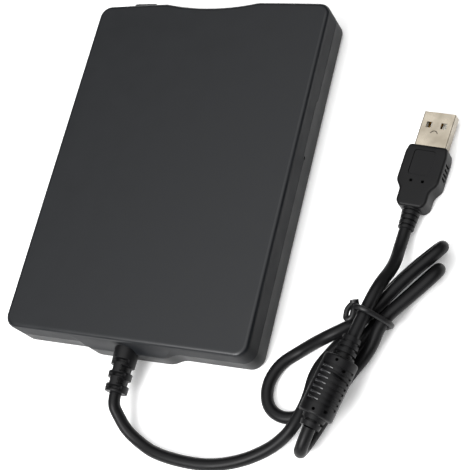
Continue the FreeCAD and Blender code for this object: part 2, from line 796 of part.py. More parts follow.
def board_components():
    chips = [
        rounded_block(-43, -33, 26, 36, board_top, board_top + 1.4, 0.4),
        rounded_block(-42, -35, 40, 46, board_top, board_top + 1.2, 0.4),
        block(-30, -26, 26, 32, board_top, board_top + 1.1),
        upright(2.2, -28, 38, board_top, board_top + 4.5),
    ]
    for index in range(6):
        x = -31 + index % 2 * 2.4
        y = 42.5 + index // 2 * 2.2
        chips.append(block(x, x + 1.6, y, y + 0.8, board_top, board_top + 0.6))
    return chips


def usb_board():
    return [block(-14, 38, 57.5, 67.5, floor_top + 1.4, floor_top + 2.4)]


def usb_board_parts():
    top_face = floor_top + 2.4
    parts = [
        rounded_block(14, 21, 59, 66, top_face, top_face + 1.4, 0.4),
        rounded_block(25, 35, 60.5, 64.5, top_face, top_face + 3.2, 1.9),
        block(-4, 4, 63.5, 66.5, top_face, top_face + 3.0),
    ]
    for index in range(5):
        parts.append(block(6 + index * 1.6, 6.8 + index * 1.6, 59.5, 61.1, top_face, top_face + 0.6))
    return parts


def connectors():
    return [
        block(-42, -28, 50, 54, board_top, board_top + 2.0),
        block(-13, -9, 58.5, 66.5, floor_top + 2.4, floor_top + 4.4),
    ]


def flat_cable():
    """Flexible flat cable between the main board and the adapter board."""
    first = block(-41, -29, 54, 56.4, board_top + 0.8, board_top + 1.1)
    turn = block(-41, -29, 56.2, 65.8, board_top + 0.8, board_top + 1.1)
    across = block(-30, -13, 59.2, 65.8, board_top + 0.8, board_top + 1.1)
    return [joined([first, turn, across])]


def sense_switches():
    switches = []
    for x in (14.0, 20.0):
        body = block(x - 2, x + 2, -60, -55.6, board_top, board_top + 2.4)
        stem = upright(0.7, x, -57.8, board_top + 2.3, board_top + 3.0)
        switches.append(joined([body, stem]))
    return switches


# Cord: straight runs joined by tangent arcs, in the order in which it lies
def at_tie(across, height):
    """Point beside the tie, measured across the bundle from the strand on top."""
    return (tie_x + across * cross_x, tie_y + across * cross_y, height)


bundle_turn = math.radians(14.4)
cross_x = math.cos(bundle_turn)
cross_y = -math.sin(bundle_turn)
tie_x = -89.2
tie_y = 48.2
ferrite_height = 13.1
ferrite_start = Base.Vector(-84.8, 65.5, ferrite_height)
ferrite_way = Base.Vector(math.sin(bundle_turn), math.cos(bundle_turn), 0)
relief_mouth = ferrite_start - ferrite_way * ferrite_upper_relief
relief_foot = ferrite_start + ferrite_way * (ferrite_length + ferrite_lower_relief)
plug_end = Base.Vector(-94.2, 13.9, plug_axis_z)
plug_turn = math.radians(6.2)
plug_way = Base.Vector(-math.sin(plug_turn), -math.cos(plug_turn), 0)

lead_route = [
    (0.0, relief_end, seam),
    (0.0, relief_end + 4.0, seam),
    (-2.0, 95.6, 7.0),
    (-5.2, 100.0, 3.8),
    (-10.8, 103.2, cord_radius),
    (-17.8, 106.0, cord_radius),
    (-28.8, 107.2, cord_radius),
    (-40.4, 106.9, cord_radius),
    (-51.2, 103.7, cord_radius),
]
hank_route = [
    (-60.2, 98.8, 2.9),
    (-66.6, 94.0, 5.2),
    (-70.9, 88.7, 7.5),
    (-73.5, 79.5, 7.4),
    (-73.5, 70.0, 6.9),
    (-76.1, 61.4, 3.0),
    at_tie(3.2, 3.9),
    (-96.6, 30.7, 2.3),
    (-107.4, 18.6, cord_radius),
    (-111.0, 21.4, 10.05),
    (-99.8, 32.5, 8.4),
    at_tie(0.6, 7.9),
    (-83.0, 53.0, 9.2),
    (-76.8, 56.8, 9.0),
    (-70.2, 59.4, 5.4),
    (-64.2, 62.4, 2.3),
    (-57.9, 67.6, cord_radius),
    (-54.9, 75.6, cord_radius),
    (-57.0, 83.4, cord_radius),
    (-63.9, 86.7, cord_radius),
    (-71.3, 84.2, cord_radius),
    (-74.8, 77.4, cord_radius),
    (-78.3, 68.5, cord_radius),
    (-84.2, 59.2, 2.6),
    at_tie(-2.0, 3.9),
    (-98.0, 39.4, 2.3),
    (-107.8, 26.8, cord_radius),
    (-111.3, 29.8, 10.05),
    (-101.8, 40.4, 8.8),
    at_tie(-4.6, 8.1),
    (-91.0, 59.4, 5.2),
    (-82.9, 70.0, cord_radius),
    (-79.3, 82.5, cord_radius),
    (-73.4, 96.2, cord_radius),
    (-76.1, 98.6, 11.4),
    (relief_foot.x, relief_foot.y, relief_foot.z),
]
plug_route = [
    (relief_mouth.x, relief_mouth.y, relief_mouth.z),
    (-89.2, 48.2, ferrite_height),
    (-92.0, 38.6, 13.4),
    (-94.1, 29.0, 7.6),
    (plug_end.x - 6.4 * plug_way.x, plug_end.y - 6.4 * plug_way.y, plug_axis_z),
    (plug_end.x, plug_end.y, plug_axis_z),
]


def rounded_path(points):
    """Wire of straight runs and tangent arcs, with its least radius and points along it."""
    corners = [Base.Vector(*point) for point in points]
    edges = []
    radii = []
    along = []
    start = corners[0]
    for index in range(1, len(corners) - 1):
        here = corners[index]
        back = corners[index - 1] - here
        ahead = corners[index + 1] - here
        reach = 0.45 * min(back.Length, ahead.Length)
        back.normalize()
        ahead.normalize()
        turn = math.pi - back.getAngle(ahead)
        radius = reach / math.tan(turn / 2)
        enter = here + back * reach
        leave = here + ahead * reach
        middle_way = (back + ahead).normalize()
        centre = here + middle_way * math.sqrt(radius * radius + reach * reach)
        middle = centre - middle_way * radius
        edges.append(Part.LineSegment(start, enter).toShape())
        edges.append(Part.Arc(enter, middle, leave).toShape())
        radii.append(radius)
        start = leave
    edges.append(Part.LineSegment(start, corners[-1]).toShape())
    for edge in edges:
        count = max(2, int(edge.Length / 1.2))
        for step in range(count):
            low, high = edge.ParameterRange
            along.append(edge.valueAt(low + (high - low) * step / count))
    return Part.Wire(edges), radii, along


def cord_tube(name, points):
    path, radii, along = rounded_path(points)
    first = path.Edges[0]
    begin = first.FirstParameter
    profile = Part.Circle(first.valueAt(begin), first.tangentAt(begin), cord_radius)
    pipe = path.makePipeShell([Part.Wire([profile.toShape()])], True, True)
    expected = math.pi * cord_radius ** 2 * path.Length
    print(name, "length", round(path.Length, 1), "radii", [round(r, 1) for r in radii])
    print(name, "volume over section times length", round(pipe.Volume / expected, 4))
    return pipe, along


def least_gap(along):
    """Least clear space between stretches of the cord that are not neighbours."""
    least = 1e9
    place = None
    for first in range(len(along)):
        travelled = 0
        for second in range(first + 1, len(along)):
            travelled += along[second].distanceToPoint(along[second - 1])
            if travelled < 4 * cord_diameter:
                continue
            gap = along[first].distanceToPoint(along[second]) - cord_diameter
            if gap < least:
                least = gap
                place = (along[first], along[second])
    return least, place


# Strain relief, ferrite, tie and plug
def strain_relief():
    boot = Part.makeCone(relief_root_radius, relief_tip_radius, relief_length,
                         Base.Vector(0, collar_face, seam), Base.Vector(0, 1, 0))
    neck = rod_along_y(relief_root_radius, 0, seam, half_length - 1.0, collar_face + 0.1)
    flange = rod_along_y(6.0, 0, seam, half_length - wall, half_length)
    body = joined([boot, neck, flange])
    pitch = 4.4
    for index in range(3):
        y = collar_face + 2.6 + index * pitch
        for side in (-1, 1):
            slot = block(-6, 6, y, y + 1.3, seam + side * 3.9 - 1.3, seam + side * 3.9 + 1.3)
            body = body.cut(slot)
        for side in (-1, 1):
            slot = block(side * 3.9 - 1.3, side * 3.9 + 1.3, y + pitch / 2, y + pitch / 2 + 1.3,
                         seam - 6, seam + 6)
            body = body.cut(slot)
    return [body]


def along_ferrite(shape):
    """Moves a piece made along +Y onto the ferrite's axis."""
    shape.rotate(Base.Vector(0, 0, 0), Base.Vector(0, 0, 1), -math.degrees(bundle_turn))
    shape.translate(ferrite_start)
    return shape


def ferrite_bead():
    r = ferrite_diameter / 2
    half = cord_radius + 1.9
    barrel = rod_along_y(r, 0, 0, 0, ferrite_length)
    barrel = barrel.makeFillet(0.8, [e for e in barrel.Edges if e.BoundBox.YLength < 0.01])
    upper = Part.makeCone(half - 0.9, half, ferrite_upper_relief + 0.1,
                          Base.Vector(0, -ferrite_upper_relief, 0), Base.Vector(0, 1, 0))
    lower = Part.makeCone(half, half - 0.7, ferrite_lower_relief + 0.1,
                          Base.Vector(0, ferrite_length - 0.1, 0), Base.Vector(0, 1, 0))
    body = joined([barrel, upper, lower])
    for index in range(3):
        y = -2.0 - index * 2.2
        ring = rod_along_y(r, 0, 0, y, y + 0.9).cut(rod_along_y(cord_radius + 0.6, 0, 0, y - 1, y + 2))
        body = body.cut(ring)
    ring = rod_along_y(r, 0, 0, ferrite_length + 1.4, ferrite_length + 2.3)
    body = body.cut(ring.cut(rod_along_y(cord_radius + 0.6, 0, 0, ferrite_length, ferrite_length + 4)))
    for index in range(8):
        y = 3.4 + index * 1.9
        groove = rod_along_y(r + 1, 0, 0, y, y + 0.8).cut(rod_along_y(r - 0.4, 0, 0, y - 1, y + 2))
        groove = groove.common(block(-r - 1, 3.2, y - 1, y + 2, 0, r + 1))
        body = body.cut(groove)
    for x, y in ((-1.0, 1.7), (-4.2, 4.3), (-1.0, 19.6), (-4.6, 18.9)):
        body = body.cut(upright(0.55, x, y, r - 4, r + 1))
    return [along_ferrite(body)]


def tie_band():
    """Open wire round the bundle, an arc about each outer strand, with its ends in the knot."""
    strands = ((3.2, 3.9), (0.0, ferrite_height), (-4.8, 8.2), (-2.0, 3.9))
    reach = cord_radius + tie_slack + tie_wire_radius
    count = len(strands)
    outward = []
    for index in range(count):
        here = strands[index]
        after = strands[(index + 1) % count]
        run = math.hypot(after[0] - here[0], after[1] - here[1])
        outward.append(((after[1] - here[1]) / run, (here[0] - after[0]) / run))

    def spot(strand, way):
        across = strand[0] + way[0] * reach
        return Base.Vector(tie_x + across * cross_x, tie_y + across * cross_y, strand[1] + way[1] * reach)

    low = spot(strands[0], outward[0])
    high = spot(strands[1], outward[0])
    first = low + (high - low) * 0.93
    last = low + (high - low) * 0.80
    edges = []
    start = first
    for index in (1, 2, 3, 0):
        enter = spot(strands[index], outward[index - 1])
        leave = spot(strands[index], outward[index])
        bisector = [outward[index - 1][axis] + outward[index][axis] for axis in range(2)]
        size = math.hypot(*bisector)
        crest = spot(strands[index], (bisector[0] / size, bisector[1] / size))
        edges.append(Part.LineSegment(start, enter).toShape())
        edges.append(Part.Arc(enter, crest, leave).toShape())
        start = leave
    edges.append(Part.LineSegment(start, last).toShape())
    return wire_tube(Part.Wire(edges))


def wire_tube(path):
    first = path.Edges[0]
    begin = first.FirstParameter
    profile = Part.Circle(first.valueAt(begin), first.tangentAt(begin), tie_wire_radius)
    return path.makePipeShell([Part.Wire([profile.toShape()])], True, True)


def twist_tie():
    knot_low = Base.Vector(-85.7, 47.8, 12.7)
    knot_high = Base.Vector(-85.0, 44.9, 14.3)
    way = knot_high - knot_low
    knot = Part.makeCylinder(1.3, way.Length, knot_low, way)
    eye_points = [
        (-84.8, 45.7, 14.1), (-83.2, 48.4, 14.6), (-83.5, 52.2, 14.6), (-85.9, 51.6, 15.2),
        (-86.0, 48.6, 15.6), (-85.5, 46.7, 14.5),
    ]
    eye = wire_tube(rounded_path(eye_points)[0])
    return [joined([tie_band(), knot, eye])]


def along_plug(shape):
    """Moves a piece made along +Y, from the cord's end, onto the plug's axis."""
    shape.rotate(Base.Vector(0, 0, 0), Base.Vector(0, 0, 1), 180 - math.degrees(plug_turn))
    shape.translate(plug_end)
    return shape


head_start = 15.9
head_end = 33.0
head_half = 7.6
head_rise = 4.0
neck_half = 5.3
neck_rise = 3.5


def oval_loft(y0, half0, rise0, y1, half1, rise1):
    """Solid between two upright ovals on the plug's axis."""
    wires = []
    for y, half, rise in ((y0, half0, rise0), (y1, half1, rise1)):
        oval = Part.Ellipse(Base.Vector(0, y, 0), half, rise).toShape()
        oval = oval.rotate(Base.Vector(0, y, 0), Base.Vector(1, 0, 0), 90)
        wires.append(Part.Wire(oval))
    return Part.makeLoft(wires, True, True)


def plug_body():
    head = block(-head_half, head_half, head_start, head_end, -head_rise, head_rise)
    head = head.makeFillet(2.4, [e for e in head.Edges if e.BoundBox.YLength > 5])
    head = head.makeFillet(0.5, [e for e in head.Edges if e.BoundBox.YLength < 0.01])
    shoulder = oval_loft(12.4, neck_half, neck_rise, head_start + 1.5, head_half - 0.7, head_rise - 0.4)
    neck = oval_loft(7.0, neck_half - 0.6, neck_rise - 0.2, 12.5, neck_half, neck_rise)
    relief = Part.makeCone(2.9, 3.3, 7.1, Base.Vector(0, 0, 0), Base.Vector(0, 1, 0))
    body = joined([head, shoulder, neck, relief])
    for index in range(3):
        y = 1.2 + index * 1.9
        ring = rod_along_y(6, 0, 0, y, y + 0.8).cut(rod_along_y(cord_radius + 0.3, 0, 0, y - 1, y + 2))
        body = body.cut(ring)
    body = body.cut(rounded_block(-4.9, 4.9, head_start + 3.4, head_end - 3.0,
                                  head_rise - 0.5, head_rise + 1, 1.6))
    for index in range(4):
        y = head_start + 7.4 + index * 1.6
        for side in (-1, 1):
            x = side * head_half
            body = body.cut(block(x - 0.35, x + 0.35, y, y + 0.7, -1.7, 1.7))
    for x in (-2.2, 2.2):
        body = body.cut(upright(0.5, x, head_start + 1.6, head_rise - 1.0, head_rise + 1))
    mouth = block(-shell_width / 2, shell_width / 2, head_end - 2.0, head_end + 1,
                  -shell_height / 2, shell_height / 2)
    return [along_plug(body.cut(mouth))]


def plug_shell():
    low = head_end - 2.0
    high = head_end + shell_length
    outer = block(-shell_width / 2, shell_width / 2, low, high, -shell_height / 2, shell_height / 2)
    outer = outer.makeFillet(0.5, [e for e in outer.Edges if e.BoundBox.YLength > 5])
    inner = block(-shell_width / 2 + shell_sheet, shell_width / 2 - shell_sheet, low + 0.5, high + 1,
                  -shell_height / 2 + shell_sheet, shell_height / 2 - shell_sheet)
    body = outer.cut(inner)
    for x in (-2.75, 2.75):
        for side in (-1, 1):
            hole = block(x - 1.1, x + 1.1, head_end + 6.0, head_end + 8.3, side * 2.2 - 0.6, side * 2.2 + 0.6)
            body = body.cut(hole)
    return [along_plug(body)]


def plug_tongue():
    half = shell_width / 2 - shell_sheet - 0.1
    tongue = block(-half, half, head_end - 1.5, head_end + shell_length - 0.6,
                   -shell_height / 2 + shell_sheet + 0.05, -0.1)
    for x in (-3.5, -1.0, 1.0, 3.5):
        tongue = tongue.cut(block(x - 0.5, x + 0.5, head_end, head_end + shell_length - 1.5, -0.35, 0.5))
    return [along_plug(tongue)]


def plug_contacts():
    contacts = []
    for x in (-3.5, -1.0, 1.0, 3.5):
        back = 1.6 if abs(x) < 2 else 0.8
        end = head_end + shell_length - 0.8 - back
        contacts.append(along_plug(block(x - 0.5, x + 0.5, head_end, end, -0.35, -0.15)))
    return contacts


def midway(first, second):
    return tuple((first[axis] + second[axis]) / 2 for axis in range(3))


join = midway(lead_route[-1], hank_route[0])
lead_tube, lead_along = cord_tube("cord_lead", lead_route + [join])
hank_tube, hank_along = cord_tube("cord_hank", [join] + hank_route)
plug_tube, plug_along = cord_tube("cord_plug_end", plug_route)
gap, place = least_gap(lead_along + hank_along)
print("least gap of the hank to itself", round(gap, 2), place)
least = 1e9
for here in plug_along:
    for there in hank_along:
        clear = here.distanceToPoint(there) - cord_diameter
        if clear < least:
            least = clear
            place = (here, there)
print("least gap of the plug's lead to the hank", round(least, 2), place)

save("top_cover", [top_cover()])
save("bottom_cover", [bottom_cover()])
save("rubber_feet", rubber_feet())
save("case_screws", case_screws())
save("chassis_screws", chassis_screws())
save("front_bezel", front_bezel())
save("slot_door", slot_door())
save("led_lens", led_lens())
save("chassis_tray", chassis_tray())
save("motor_board", motor_board())
save("stator_core", stator_core())
save("stator_coils", stator_coils())
save("spindle_bearing", spindle_bearing())
save("spindle_rotor", spindle_rotor())
save("rotor_magnet", rotor_magnet())
save("spindle_shaft", spindle_shaft())
save("drive_pin", drive_pin())
save("guide_rod", guide_rod())
save("rod_clamps", rod_clamps())
save("head_carriage", head_carriage())
save("lower_head", lower_head())
save("upper_head_arm", upper_head_arm())
save("upper_head", upper_head())
save("lead_screw", lead_screw())
save("stepper_motor", stepper_motor())
save("stepper_bracket", stepper_bracket())
save("disk_carrier", disk_carrier())
save("slide_plate", slide_plate())
save("eject_button", eject_button())
save("eject_spring", eject_spring())
save("shutter_lever", shutter_lever())
save("main_board", main_board())
save("board_components", board_components())
save("usb_board", usb_board())
save("usb_board_parts", usb_board_parts())
save("connectors", connectors())
save("flat_cable", flat_cable())
save("sense_switches", sense_switches())
save("strain_relief", strain_relief())
save("cord_lead", [lead_tube])
save("cord_hank", [hank_tube])
save("cord_plug_end", [plug_tube])
save("ferrite_bead", ferrite_bead())
save("twist_tie", twist_tie())
save("plug_body", plug_body())
save("plug_shell", plug_shell())
save("plug_tongue", plug_tongue())
save("plug_contacts", plug_contacts())
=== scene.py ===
import bmesh
import bpy
import math
from mathutils import Matrix, Vector


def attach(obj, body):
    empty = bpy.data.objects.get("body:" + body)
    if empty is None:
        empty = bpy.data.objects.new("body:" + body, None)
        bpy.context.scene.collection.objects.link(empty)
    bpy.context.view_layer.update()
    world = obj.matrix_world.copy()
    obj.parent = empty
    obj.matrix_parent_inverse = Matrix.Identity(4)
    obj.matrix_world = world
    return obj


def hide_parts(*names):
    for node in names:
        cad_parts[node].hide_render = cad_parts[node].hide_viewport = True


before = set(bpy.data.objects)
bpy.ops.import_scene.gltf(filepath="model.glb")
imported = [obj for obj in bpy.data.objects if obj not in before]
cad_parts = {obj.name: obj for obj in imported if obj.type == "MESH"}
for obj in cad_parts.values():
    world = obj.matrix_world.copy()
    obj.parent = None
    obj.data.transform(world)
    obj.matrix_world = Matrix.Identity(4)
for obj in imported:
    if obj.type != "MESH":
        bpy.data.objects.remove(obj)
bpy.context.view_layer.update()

# The view of the drive: a long lens, high above the rear corner on the side where the lead
# lies, so that the lid fills the picture from the eject button, far off, to the tied lead.
millimetre = 0.001
camera_place = Vector((-0.225546, 0.158541, 0.369721))
camera_way = Vector((0.45052, -0.30933, -0.83746)).normalized()
camera_up = Vector((0.07484, -0.92167, 0.38069))
lens = 89.31
sensor = 36.0
nearest_seen = 0.01

camera_side = camera_way.cross(camera_up).normalized()
camera_up = camera_side.cross(camera_way)
camera_data = bpy.data.cameras.new("studio_camera")
camera_data.lens = lens
camera_data.sensor_width = sensor
camera_data.clip_start = nearest_seen
camera = bpy.data.objects.new("studio_camera", camera_data)
camera_turn = Matrix((camera_side, camera_up, -camera_way)).transposed().to_4x4()
camera.matrix_world = Matrix.Translation(camera_place) @ camera_turn
bpy.context.scene.collection.objects.link(camera)
bpy.context.scene.camera = camera


# The lead is soft PVC over screened pairs, near black and satin. It is folded into a
# small hank, each bend as tight as the jacket allows, so its highlights run in streaks.
cord_radius = 2.25
cord_facets = 6
cord_steps = 16
drive_shift = 2.2
seam_height = 9.5
relief_end = 88.2
lead_straight = 4.0
pvc_black = "#0c0c0d"
pvc_worn = "#111112"
pvc_ior = 1.53
cord_shine = 0.13
drift_size = 9.0
gloss_spread = 0.05
grain_strength = 0.6
patch_low = 0.3
patch_high = 0.7

ferrite_height = 13.1
ferrite_start = Vector((-84.8, 65.5, ferrite_height))
bundle_turn = math.radians(14.4)
ferrite_way = Vector((math.sin(bundle_turn), math.cos(bundle_turn), 0))
ferrite_length = 21.3
ferrite_upper_relief = 8.0
ferrite_lower_relief = 4.0
relief_mouth = ferrite_start - ferrite_way * ferrite_upper_relief
relief_foot = ferrite_start + ferrite_way * (ferrite_length + ferrite_lower_relief)
tie_place = (-89.2, 48.2)

plug_height = 4.1
plug_turn = math.radians(6.2)
plug_way = Vector((-math.sin(plug_turn), -math.cos(plug_turn), 0))
plug_end = Vector((-94.2, 13.9, plug_height))
plug_straight = 6.4


def at_tie(across, height):
    """Point beside the tie, measured across the bundle from the strand on top."""
    x = tie_place[0] + across * math.cos(bundle_turn)
    y = tie_place[1] - across * math.sin(bundle_turn)
    return (x, y, height)


lead_route = [
    (0.0, relief_end, seam_height),
    (0.0, relief_end + lead_straight, seam_height),
    (-2.0, 95.6, 7.0),
    (-5.2, 100.0, 3.8),
    (-10.8, 103.2, cord_radius),
    (-17.8, 106.0, cord_radius),
    (-28.8, 107.2, cord_radius),
    (-40.4, 106.9, cord_radius),
    (-51.2, 103.7, cord_radius),
    (-60.2, 98.8, 2.9),
    (-66.6, 94.0, 5.2),
    (-70.9, 88.7, 7.5),
    (-73.5, 79.5, 7.4),
    (-73.5, 70.0, 6.9),
    (-76.1, 61.4, 3.0),
    at_tie(3.2, 3.9),
    (-96.6, 30.7, 2.3),
    (-107.4, 18.6, cord_radius),
    (-111.0, 21.4, 10.05),
    (-99.8, 32.5, 8.4),
    at_tie(0.6, 7.9),
    (-83.0, 53.0, 9.2),
    (-76.8, 56.8, 9.0),
    (-70.2, 59.4, 5.4),
    (-64.2, 62.4, 2.3),
    (-57.9, 67.6, cord_radius),
    (-54.9, 75.6, cord_radius),
    (-57.0, 83.4, cord_radius),
    (-63.9, 86.7, cord_radius),
    (-71.3, 84.2, cord_radius),
    (-74.8, 77.4, cord_radius),
    (-78.3, 68.5, cord_radius),
    (-84.2, 59.2, 2.6),
    at_tie(-2.0, 3.9),
    (-98.0, 39.4, 2.3),
    (-107.8, 26.8, cord_radius),
    (-111.3, 29.8, 10.05),
    (-101.8, 40.4, 8.8),
    at_tie(-4.6, 8.1),
    (-91.0, 59.4, 5.2),
    (-82.9, 70.0, cord_radius),
    (-79.3, 82.5, cord_radius),
    (-73.4, 96.2, cord_radius),
    (-76.1, 98.6, 11.4),
    tuple(relief_foot),
]
plug_route = [
    tuple(relief_mouth),
    (*tie_place, ferrite_height),
    (-92.0, 38.6, 13.4),
    (-94.1, 29.0, 7.6),
    tuple(plug_end - plug_way * plug_straight),
    tuple(plug_end),
]


def linear(colour):
    """Linear red, green, blue and alpha of an sRGB hex colour."""
    channels = []
    for start in (1, 3, 5):
        value = int(colour[start:start + 2], 16) / 255
        channels.append(value / 12.92 if value <= 0.04045 else ((value + 0.055) / 1.055) ** 2.4)
    return (*channels, 1.0)


def add(tree, kind, values=None, feeds=None, **settings):
    """Adds a shader node, gives it its settings and socket values, and links what feeds it."""
    made = tree.nodes.new(kind)
    for name, value in settings.items():
        setattr(made, name, value)
    for socket, value in (values or {}).items():
        made.inputs[socket].default_value = value
    for socket, source in (feeds or {}).items():
        tree.links.new(source, made.inputs[socket])
    return made


def blank_material(name):
    """Material with an empty tree, its tree, and the surface's own place in the object."""
    material = bpy.data.materials.new(name)
    material.use_nodes = True
    material.node_tree.nodes.clear()
    place = add(material.node_tree, "ShaderNodeTexCoord").outputs["Object"]
    return material, material.node_tree, place


def per_metre(size):
    """Noise scale that gives patches about as wide as size, in millimetres."""
    return 1.0 / (size * millimetre)


def speckle(tree, place, size, detail, low, high):
    """Noise with patches of that size, spread between two values."""
    noise = add(tree, "ShaderNodeTexNoise", {"Scale": per_metre(size), "Detail": detail}, {"Vector": place})
    spread = add(tree, "ShaderNodeMapRange",
                 {"From Min": patch_low, "From Max": patch_high, "To Min": low, "To Max": high},
                 {"Value": noise.outputs["Fac"]})
    return noise.outputs["Fac"], spread.outputs["Result"]


def two_tone(tree, factor, first, second):
    """Colour between two, by factor."""
    ramp = add(tree, "ShaderNodeValToRGB", None, {"Fac": factor})
    ramp.color_ramp.elements[0].position = patch_low
    ramp.color_ramp.elements[0].color = linear(first)
    ramp.color_ramp.elements[1].position = patch_high
    ramp.color_ramp.elements[1].color = linear(second)
    return ramp.outputs["Color"]


def bumped(tree, height, depth, strength):
    """Normal of a surface raised by height times depth, in millimetres."""
    bump = add(tree, "ShaderNodeBump", {"Distance": depth * millimetre, "Strength": strength},
               {"Height": height})
    return bump.outputs["Normal"]


def surfaced(tree, values, feeds):
    """Principled surface joined to the material's output."""
    shader = add(tree, "ShaderNodeBsdfPrincipled", values, feeds)
    add(tree, "ShaderNodeOutputMaterial", None, {"Surface": shader.outputs["BSDF"]})


def moulded_plastic(name, colour, worn, roughness, grain, depth, ior, shine=0.5, wall_dullness=0.0):
    """Moulded plastic: a soft drift of colour and gloss over a fine even grain.
    Upright walls are rougher by wall_dullness where the mould was textured deeper there."""
    material, tree, place = blank_material(name)
    drift, gloss = speckle(tree, place, size=drift_size, detail=3.0, low=roughness - gloss_spread,
                           high=roughness + gloss_spread)
    if wall_dullness:
        surface = add(tree, "ShaderNodeNewGeometry")
        facing = add(tree, "ShaderNodeSeparateXYZ", None, {"Vector": surface.outputs["Normal"]})
        dull = add(tree, "ShaderNodeMapRange", {
            "From Min": 0.05, "From Max": 0.5, "To Min": wall_dullness, "To Max": 0.0,
        }, {"Value": facing.outputs["Z"]})
        total = add(tree, "ShaderNodeMath", None, {0: gloss, 1: dull.outputs["Result"]}, operation="ADD")
        gloss = total.outputs["Value"]
    pits = add(tree, "ShaderNodeTexNoise", {"Scale": per_metre(grain), "Detail": 2.0}, {"Vector": place})
    surfaced(tree, {"IOR": ior, "Specular IOR Level": shine}, {
        "Base Color": two_tone(tree, drift, colour, worn),
        "Roughness": gloss,
        "Normal": bumped(tree, pits.outputs["Fac"], depth, grain_strength),
    })
    return material


def routed(name, route, material):
    """Tube of cord along a route in the drive's millimetres."""
    curve = bpy.data.curves.new(name, "CURVE")
    curve.dimensions = "3D"
    curve.bevel_depth = cord_radius * millimetre
    curve.bevel_resolution = cord_facets
    curve.use_fill_caps = True
    curve.resolution_u = cord_steps
    spline = curve.splines.new("NURBS")
    spline.points.add(len(route) - 1)
    for point, (x, y, z) in zip(spline.points, route):
        point.co = (x * millimetre, (y + drive_shift) * millimetre, z * millimetre, 1.0)
    spline.order_u = 3
    spline.use_endpoint_u = True
    spline.resolution_u = cord_steps
    curve.materials.append(material)
    tube = bpy.data.objects.new(name, curve)
    bpy.context.scene.collection.objects.link(tube)
    return tube


soft_pvc = moulded_plastic("soft_pvc_jacket", pvc_black, pvc_worn, roughness=0.42, grain=0.5, depth=0.02,
                           ior=pvc_ior, shine=cord_shine)
lead = routed("usb_lead", lead_route, soft_pvc)
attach(lead, "case")
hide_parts("cord_lead", "cord_hank")

plug_lead = routed("plug_lead", plug_route, soft_pvc)
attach(plug_lead, "case")
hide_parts("cord_plug_end")


# The lid is one ABS moulding with a fine spark-eroded grain, dark grey with a little blue.
# Its grain scatters the light, so it looks flat and dry, and only its long edges shine. Its
# upright walls have a deeper grain than its top, so they are duller.
lid_grey = "#0f1114"
lid_drift = "#121417"
abs_ior = 1.54
lid_shine = 0.3
lid_wall_dullness = 0.4


def finish(material, *nodes):
    """Gives every slot of those CAD nodes that material."""
    for node in nodes:
        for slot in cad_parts[node].material_slots:
            slot.material = material


lid_abs = moulded_plastic("spark_eroded_abs_lid", lid_grey, lid_drift, roughness=0.36, grain=0.45,
                          depth=0.012, ior=abs_ior, shine=lid_shine, wall_dullness=lid_wall_dullness)
finish(lid_abs, "top_cover")


# The lower shell and the front bezel are moulded in the same ABS with a coarser grain,
# which reads a shade lighter than the lid beside it. The slot door is smooth and darker.
shell_grey = "#1a1b1c"
shell_drift = "#1e1f20"
door_grey = "#161718"
door_drift = "#191a1b"
shell_shine = 0.18

shell_abs = moulded_plastic("grained_abs_shell", shell_grey, shell_drift, roughness=0.5, grain=0.6,
                            depth=0.05, ior=abs_ior, shine=shell_shine)
finish(shell_abs, "bottom_cover", "front_bezel")
door_abs = moulded_plastic("smooth_abs_door", door_grey, door_drift, roughness=0.42, grain=0.4,
                           depth=0.01, ior=abs_ior)
finish(door_abs, "slot_door")


# The eject button is a small satin ABS cap that stands out of the front. Thumbs have
# polished it a little, so it is glossier than the shell round it.
button_grey = "#1b1c1e"
button_drift = "#1f2022"

button_abs = moulded_plastic("satin_abs_button", button_grey, button_drift, roughness=0.38, grain=0.5,
                             depth=0.01, ior=abs_ior)
finish(button_abs, "eject_button")


# The access light is a short rod of clear green acrylic that carries the light of a diode
# on the board behind it to the bezel.
light_green = "#3f8f4a"

light_pipe, tree, place = blank_material("clear_green_acrylic")
gloss = speckle(tree, place, size=2.0, detail=1.0, low=0.08, high=0.16)[1]
surfaced(tree, {"Base Color": linear(light_green), "IOR": 1.49, "Transmission Weight": 0.7},
         {"Roughness": gloss})
finish(light_pipe, "led_lens")


# Four rubber feet are pressed into round recesses. Moulded rubber is matt and picks up
# a faint grey bloom.
rubber_black = "#1c1c1d"
rubber_bloom = "#262627"

foot_rubber = moulded_plastic("moulded_rubber_foot", rubber_black, rubber_bloom, roughness=0.75,
                              grain=0.5, depth=0.03, ior=1.52)
finish(foot_rubber, "rubber_feet")


# The strain relief, the ferrite's jacket and the plug's body are moulded over the cord in
# flexible PVC. It has the same low sheen as the cord, and is a shade lighter.
boot_black = "#0e0e0f"
boot_drift = "#131314"

boot_pvc = moulded_plastic("overmoulded_pvc", boot_black, boot_drift, roughness=0.4, grain=0.5,
                           depth=0.02, ior=pvc_ior, shine=cord_shine)
finish(boot_pvc, "ferrite_bead")


# Seven short raised ribs cross the ferrite's jacket, so that fingers find it. They are
# moulded with it, stand 0.3 mm proud and are polished by handling. Their grey is a painted
# highlight, much lighter than the jacket's black, standing in for the light their crests catch.
rib_count = 7
rib_first = 4.75
rib_pitch = 1.9
rib_radius = 0.42
rib_sink = 0.12
rib_from = math.radians(-11)
rib_span = math.radians(40)
rib_steps = 8
bar_facets = 10
ferrite_radius = 6.1
# Both rib greys are painted highlight, not a different colour of the PVC.
rib_highlight_grey = "#1a1a1b"
rib_highlight_bright = "#29292b"
crease = math.radians(40)
up = Vector((0, 0, 1))
drive_offset = Vector((0, drive_shift, 0))


